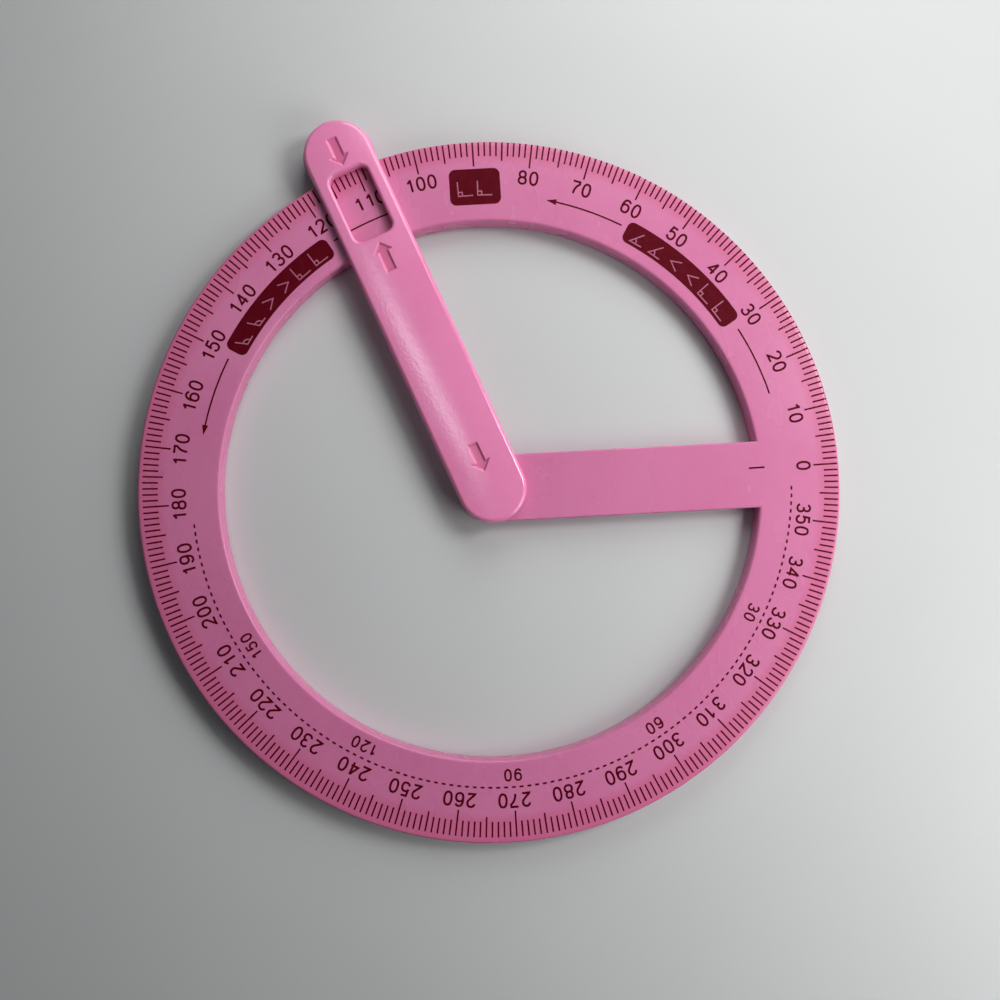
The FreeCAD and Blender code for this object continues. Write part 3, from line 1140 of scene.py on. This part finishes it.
@dataclass
class ScalePrint:
    """Everything printed on the ring and the fixed arm, as thin films on the top face.

    Shares are of the radius of the print's own circle; the whole print sits slightly off the
    ring's centre.
    """

    face: float = 3.0
    film: float = 0.012
    film_step: float = 0.001
    stroke_step: float = 0.0006
    least_half_width: float = 1e-4
    root: float = 0.03
    turn: float = 0.61
    radius: float = 49.52
    tick_end: float = 49.48
    tick_end_shift: Pair = (-0.08, -0.08)
    tick_width: float = 0.23
    tick_shares: Triple = (0.957, 0.9432, 0.9274)
    large: Lettering = Lettering(0.8772, 2.12, 0.31, 1.64)
    small: Lettering = Lettering(0.8095, 1.75, 0.27, 1.42)
    dash_share: float = 0.861
    dash_run: Pair = (355.84, 184.18)
    dash_count: int = 117
    dash_half_angle: float = 0.37
    dash_width: float = 0.26
    pointer_share: float = 0.8425
    pointer_width: float = 0.23
    pointer_runs: tuple[tuple[float, float, bool], ...] = (
        (29.0, 14.8, False), (60.2, 75.9, True), (119.6, 105.4, False), (150.9, 166.6, True))
    barb_angle: float = 1.95
    barb_cover: float = 0.75
    barb_half_widths: Pair = (0.43, 0.004)
    line_points: int = 33
    taper_points: int = 9
    panel_points: int = 41
    zero_mark_ends: Pair = (36.57, 38.86)
    zero_mark_turn: float = 0.16
    zero_mark_width: float = 0.25
    panel_corner: float = 0.9
    panel_share: float = 0.835
    panel_height: float = 3.2
    panel_runs: tuple[Pair, ...] = ((30.8, 59.1), (120.8, 149.2))
    square_share: float = 0.868
    square_size: Pair = (7.3, 5.2)
    sign_size: float = 2.1
    sign_stroke: float = 0.17
    sign_rows: tuple[SignRow, ...] = (
        SignRow(56.0, -4.45, 0.8135, (Pictogram.ACUTE, Pictogram.LESS, Pictogram.RIGHT)),
        SignRow(146.1, -4.45, 0.8135, (Pictogram.OBTUSE, Pictogram.MORE, Pictogram.RIGHT)),
        SignRow(91.9, -3.8, 0.843, (Pictogram.RIGHT,)))
    sharpest_corner: float = 0.35
    shell: Shell = field(default_factory=Shell, init=False)

    def place(self, radius: Array, degrees: Array) -> Array:
        """Plan points of the print: its centre plus a polar place, turned with the print."""
        return polar(radius, degrees + self.turn) + np.array(PRINT_CENTRE)

    def ribbon(self, path: Array, half_width: float | Array, lift: float = 0.0) -> Array:
        """Flat film along a path: each point moved to both sides along the corner's bisector.

        The side step is half_width * (n1 + n2) / (1 + n1 . n2), with n1 and n2 the unit normals of
        the runs before and after the point, and the divisor held above the sharpest corner's.

        Args:
            path: Plan points of the middle line, as (..., points, 2).
            half_width: Half the film's width, one or one for each point.
            lift: Extra height of the film.

        Returns:
            Grid of four points round the film's section for each path point.
        """
        run = np.diff(path, axis=-2)
        run = run / np.linalg.norm(run, axis=-1, keepdims=True)
        normal = np.stack([-run[..., 1], run[..., 0]], axis=-1)
        before = np.concatenate([normal[..., :1, :], normal], axis=-2)
        after = np.concatenate([normal, normal[..., -1:, :]], axis=-2)
        turn = 1 + np.sum(before * after, axis=-1, keepdims=True)
        bisector = (before + after) / np.maximum(turn, self.sharpest_corner)
        side = bisector * np.broadcast_to(half_width, path.shape[:-1])[..., None]
        high, low = self.face + self.film + lift, self.face - self.root
        edges = [(path + side, high), (path - side, high), (path - side, low), (path + side, low)]
        return np.stack([lifted(plan, level) for plan, level in edges], axis=-2)

    def add_film(self, path: Array, half_width: float | Array, lift: float = 0.0) -> None:
        """Add a closed film along a path."""
        self.shell.add(self.ribbon(path, half_width, lift), closed=True, capped=True)

    def ticks(self) -> None:
        """Add a tick at each degree, longer at the fives and tens."""
        degrees = np.arange(360)
        kinds = [degrees % 10 == 0, degrees % 5 == 0]
        inner = np.select(kinds, self.tick_shares[:0:-1], self.tick_shares[0])
        outer = self.tick_end + polar(1.0, degrees) @ np.array(self.tick_end_shift)
        ends = np.stack([inner * self.radius, outer], axis=-1)
        self.add_film(self.place(ends, degrees[:, None]), self.tick_width / 2)

    def dashes(self) -> None:
        """Add the dashed half circle below the fixed arm."""
        middle = np.linspace(*self.dash_run, self.dash_count)
        degrees = middle[:, None] + np.linspace(-self.dash_half_angle, self.dash_half_angle, 3)
        self.add_film(self.place(self.dash_share * self.radius, degrees), self.dash_width / 2)

    def lettered(self, strokes: tuple[Stroke, ...], angle: float, foot: float, size: float, width: float,
                 lift: float = 0.0) -> None:
        """Add one figure or pictogram that stands on a circle with its top outwards.

        Args:
            strokes: Its strokes, in shares of its height.
            angle: Direction of its middle.
            foot: Radius of the circle it stands on.
            size: Height of its middle lines.
            width: Width of the strokes.
            lift: Extra height of the film.
        """
        traced = [np.concatenate([part.trace() for part in stroke]) for stroke in strokes]
        flat = np.concatenate(traced)
        middle = (flat[:, 0].min() + flat[:, 0].max()) / 2
        out, along = polar(1.0, angle + self.turn), polar(1.0, angle + self.turn - 90)
        for number, trace in enumerate(traced):
            keep = np.append(True, np.linalg.norm(np.diff(trace, axis=0), axis=-1) > WELD_DISTANCE)
            x, y = (trace[keep] - [middle, 0]).T * size
            path = np.array(PRINT_CENTRE) + (foot + y)[:, None] * out + x[:, None] * along
            self.add_film(path, width / 2, lift + self.stroke_step * number)

    def number(self, text: str, angle: float, letters: Lettering) -> None:
        """Add a number whose figures stand side by side on a circle.

        Args:
            text: The number.
            angle: Direction of its middle.
            letters: Size of the figures.
        """
        foot = letters.foot_share * self.radius
        step = math.degrees(letters.pitch / (foot + letters.height / 2))
        for place, figure in enumerate(text):
            offset = (len(text) - 1) / 2 - place
            self.lettered(FIGURES[figure], angle + offset * step, foot + letters.stroke / 2,
                          letters.height - letters.stroke, letters.stroke)

    def numbers(self) -> None:
        """Add the numbers of the full circle, but not 90, and the small ones of the half circle."""
        for degrees in (*range(0, 90, 10), *range(100, 360, 10)):
            self.number(str(degrees), degrees, self.large)
        for degrees in range(30, 180, 30):
            self.number(str(degrees), 360 - degrees, self.small)

    def pointers(self) -> None:
        """Add the thin lines beside the panels, two of them with an arrowhead."""
        radius = self.pointer_share * self.radius
        for start, end, headed in self.pointer_runs:
            neck = end - self.barb_angle
            degrees = np.linspace(start, neck + self.barb_cover if headed else end, self.line_points)
            self.add_film(self.place(radius, degrees), self.pointer_width / 2)
            if headed:
                widest, narrowest = self.barb_half_widths
                half_width = widest * (1 - np.linspace(0, 1, self.taper_points)) + narrowest
                barb = self.place(radius, np.linspace(neck, end, self.taper_points))
                self.add_film(barb, half_width, self.film_step)

    def zero_mark(self) -> None:
        """Add the dash on the fixed arm that points to zero."""
        path = self.place(np.array(self.zero_mark_ends), np.full(2, self.zero_mark_turn))
        self.add_film(path, self.zero_mark_width / 2)

    def add_panel(self, path: Array, along: Array, height: float) -> None:
        """Add a rounded panel: half height h - c + sqrt(c^2 - (c - distance from its end)^2).

        Args:
            path: Its middle line.
            along: Distance along that line for each of its points.
            height: Height of the panel.
        """
        corner = self.panel_corner
        end = np.minimum(along - along[0], along[-1] - along)
        short = np.clip(corner - end, 0, corner)
        self.add_film(path, height / 2 - corner + np.sqrt(corner ** 2 - short ** 2) + self.least_half_width)

    def panels(self) -> None:
        """Add the three solid panels: two along the ring and a straight one at the right angle."""
        ends = self.panel_corner * (1 - np.cos(np.linspace(0, math.pi / 2, self.taper_points)))
        middle = self.panel_share * self.radius
        for start, end in self.panel_runs:
            length = math.radians(end - start) * middle
            run = np.linspace(self.panel_corner, length - self.panel_corner, self.panel_points)[1:-1]
            along = np.concatenate([ends, run, length - ends[::-1]])
            path = self.place(middle, start + np.degrees(along / middle))
            self.add_panel(path, along, self.panel_height)
        width, height = self.square_size
        along = np.concatenate([ends, width - ends[::-1]])
        out, side = polar(1.0, 90 + self.turn), polar(1.0, self.turn)
        foot = np.array(PRINT_CENTRE) + self.square_share * self.radius * out
        self.add_panel(foot + (along - width / 2)[:, None] * side, along, height)

    def signs(self) -> None:
        """Add the angle pictograms that stand on the panels."""
        for row in self.sign_rows:
            for number in range(2 * len(row.signs)):
                self.lettered(row.signs[number // 2].value, row.start + number * row.step,
                              row.foot_share * self.radius, self.sign_size, self.sign_stroke, self.film)

    def build(self, ink: PrintedInk, bare: MouldedPlastic) -> None:
        """Make the print as separate pieces.

        Args:
            ink: Finish of the print.
            bare: Finish of the pictograms, which are left bare in the panels.
        """
        printed, unprinted = ink.build(), bare.build()
        for name, add, material in (
            ("print_ticks", self.ticks, printed),
            ("print_dashes", self.dashes, printed),
            ("print_numbers", self.numbers, printed),
            ("print_pointers", self.pointers, printed),
            ("print_zero_mark", self.zero_mark, printed),
            ("print_panels", self.panels, printed),
            ("print_signs", self.signs, unprinted),
        ):
            self.shell = Shell()
            add()
            self.shell.piece(name, material, "ring", "ring_plastic")


@dataclass
class PhotoCamera:
    """Camera at the photograph's place: almost straight above the ring."""

    location: Triple = (-3.10, -6.32, 142.17)
    forward: Triple = (0.02966, 0.03299, -0.99902)
    picture_turn: float = -3.05
    lens: float = 35.28
    sensor: float = 36.0

    def build(self) -> Object:
        """Make the camera and give it to the scene.

        Returns:
            The camera.
        """
        data = bpy.data.cameras.new("photo_camera")
        data.lens = self.lens
        data.sensor_width = self.sensor
        data.clip_start = MM
        camera = bpy.data.objects.new("photo_camera", data)
        bpy.context.scene.collection.objects.link(camera)
        ahead = Vector(self.forward).normalized()
        hint = Vector((*polar(1.0, self.picture_turn), 0.0))
        right = (hint - hint.dot(ahead) * ahead).normalized()
        up = right.cross(ahead)
        camera.matrix_world = Matrix.Translation(Vector(self.location) * MM) @ Matrix(
            (right, up, -ahead)).transposed().to_4x4()
        bpy.context.scene.camera = camera
        return camera


@dataclass(frozen=True)
class Softbox:
    """Square area light aimed at the object's middle.

    Attributes:
        azimuth: Direction it stands in, from +X towards +Y.
        elevation: Its height above the table, as an angle.
        distance: Distance from the middle, in metres.
        size: Width and height, in metres.
        power: Power in watts.
        colour: Colour of its light.
    """

    azimuth: float
    elevation: float
    distance: float
    size: Pair
    power: float
    colour: Triple = (1.0, 1.0, 1.0)

    def build(self, name: str) -> None:
        """Make the light.

        Args:
            name: Its name.
        """
        data = bpy.data.lights.new(name, "AREA")
        data.shape = "RECTANGLE"
        data.size, data.size_y = self.size
        data.energy = self.power
        data.color = self.colour
        light = bpy.data.objects.new(name, data)
        bpy.context.scene.collection.objects.link(light)
        flat = math.cos(math.radians(self.elevation))
        place = Vector((*(flat * polar(1.0, self.azimuth)), math.sin(math.radians(self.elevation))))
        light.location = place * self.distance
        light.rotation_euler = (-place).to_track_quat("-Z", "Y").to_euler()


@dataclass
class Studio:
    """Plain pale floor, even room light, three soft lights and a narrow one that shows in the gloss."""

    floor_size: float = 3.0
    floor_level: float = -0.05
    floor_colours: tuple[Colour, Colour] = ((0.60, 0.61, 0.61, 1.0), (0.64, 0.65, 0.65, 1.0))
    floor_shades: Pattern = Pattern(30.0, 4.0)
    floor_relief: Relief = Relief(Pattern(900.0, 3.0), 0.3, 0.02)
    floor_roughness: float = 0.7
    room_colour: Colour = (0.95, 0.97, 1.0, 1.0)
    room_strength: float = 0.035
    lights: dict[str, Softbox] = field(default_factory=lambda: {
        "front_light": Softbox(-25.0, 33.0, 0.17, (0.11, 0.11), 0.127),
        "back_light": Softbox(73.0, 33.0, 0.17, (0.11, 0.11), 0.131),
        "window_light": Softbox(22.0, 44.0, 0.26, (0.07, 0.10), 0.275),
        "ceiling_light": Softbox(127.5, 78.8, 1.0, (0.024, 0.24), 0.26, (0.86, 0.93, 1.0)),
    })

    def build_floor(self) -> None:
        """Make the floor: a flat square that lets the view from below through."""
        half = self.floor_size / 2
        mesh = bpy.data.meshes.new("floor")
        corners = [(-half, -half), (half, -half), (half, half), (-half, half)]
        mesh.from_pydata([(x, y, self.floor_level * MM) for x, y in corners], [], [(0, 1, 2, 3)])
        tree = NodeTree("floor_paint")
        paint = tree.add("ShaderNodeBsdfPrincipled", {
            "Base Color": tree.mixed(tree.noise(self.floor_shades), *self.floor_colours),
            "Roughness": self.floor_roughness,
            "Normal": tree.bump(self.floor_relief),
        })
        clear = tree.add("ShaderNodeBsdfTransparent", {})
        back = tree.add("ShaderNodeNewGeometry", {})
        inputs = {0: back.outputs["Backfacing"], 1: paint.outputs[0], 2: clear.outputs[0]}
        tree.add_output(tree.add("ShaderNodeMixShader", inputs))
        mesh.materials.append(tree.material)
        floor = bpy.data.objects.new("floor", mesh)
        bpy.context.scene.collection.objects.link(floor)

    def build(self) -> None:
        """Make the floor, the room light and the four lights."""
        self.build_floor()
        world = bpy.data.worlds.new("room")
        world.use_nodes = True
        background = world.node_tree.nodes["Background"]
        background.inputs["Color"].default_value = self.room_colour
        background.inputs["Strength"].default_value = self.room_strength
        bpy.context.scene.world = world
        for name, light in self.lights.items():
            light.build(name)


def main() -> None:
    """Build the camera, the pieces and the studio."""
    logging.basicConfig(level=logging.INFO, format="%(message)s", force=True)
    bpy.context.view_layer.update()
    bpy.context.scene.view_settings.view_transform = "Standard"
    PhotoCamera().build()
    pink: Colour = (0.69, 0.19, 0.385, 1.0)
    pale_pink: Colour = (0.73, 0.225, 0.425, 1.0)
    # The ring's redder band under the ticks is painted shade of light that passes under the ink.
    ScaleRing().build(MouldedPlastic(
        "ring_finish", pink, pale_pink, (0.25, 0.29), rim_colour=(0.70, 0.165, 0.335, 1.0)))
    swing_arm = SwingArm()
    # The arm's engraved colour is painted shade in its arrows.
    swing_arm.build(MouldedPlastic(
        "arm_finish", (0.90, 0.25, 0.495, 1.0), (0.94, 0.3, 0.555, 1.0), (0.13, 0.17),
        Relief(Pattern(2500.0, 3.0), 0.6, 0.024), engraved=(0.76, 0.17, 0.36, 1.0), gloss=0.95))
    PivotCap().build(MouldedPlastic("cap_finish", pink, pale_pink))
    RimKeeper(swing_arm).build(MouldedPlastic("keeper_finish", pink, pale_pink))
    ScalePrint().build(
        PrintedInk("ink_finish", (0.105, 0.001, 0.007, 1.0), (0.14, 0.004, 0.02, 1.0)),
        MouldedPlastic("sign_finish", (0.46, 0.11, 0.20, 1.0), (0.52, 0.15, 0.25, 1.0)))
    Studio().build()


if __name__ == "__main__":
    main()
